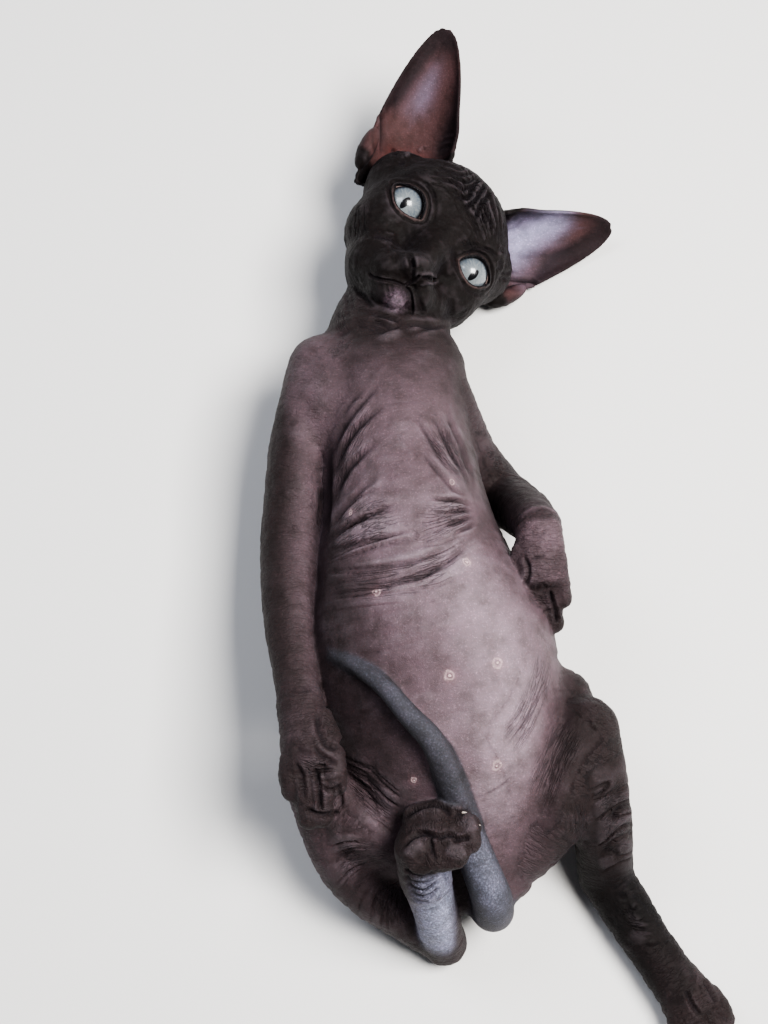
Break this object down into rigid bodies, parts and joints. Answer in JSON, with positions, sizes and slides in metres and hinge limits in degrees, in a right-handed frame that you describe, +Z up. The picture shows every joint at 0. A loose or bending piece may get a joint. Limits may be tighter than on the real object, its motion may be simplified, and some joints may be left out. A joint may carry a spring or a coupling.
{
  "type": "sphynx kitten",
  "caption": "Life-size sphynx kitten lying on its back, face turned up, one foreleg along its flank and its tail over its belly.",
  "frame": {"origin": "on the floor, under the middle of the whole model's box", "axes": "+Z up from the floor towards the belly, +Y towards the head, -X towards the kitten's right side"},
  "size_m": [0.1656, 0.381, 0.082],
  "materials": {
    "skin_body": "matte bare skin",
    "skin_belly": "soft satin bare skin",
    "skin_limbs": "matte bare skin",
    "skin_head": "matte bare skin",
    "skin_ears": "thin satin bare skin",
    "eyes": "wet gloss"
  },
  "bodies": {
    "root": {"chest": "skin_body", "belly": "skin_belly", "hips": "skin_body", "neck": "skin_body", "head": "skin_head", "eye_right": "eyes", "eye_left": "eyes", "ear_right": "skin_ears", "ear_left": "skin_ears", "upper_arm_right": "skin_body", "forearm_right": "skin_limbs", "forepaw_right": "skin_limbs", "upper_arm_left": "skin_body", "forearm_left": "skin_limbs", "forepaw_left": "skin_limbs", "thigh_right": "skin_body", "shin_right": "skin_limbs", "foot_right": "skin_limbs", "thigh_left": "skin_body", "shin_left": "skin_limbs", "foot_left": "skin_limbs", "tail_base": "skin_limbs", "tail_middle": "skin_limbs", "tail_tip": "skin_limbs"}
  },
  "joints": []
}
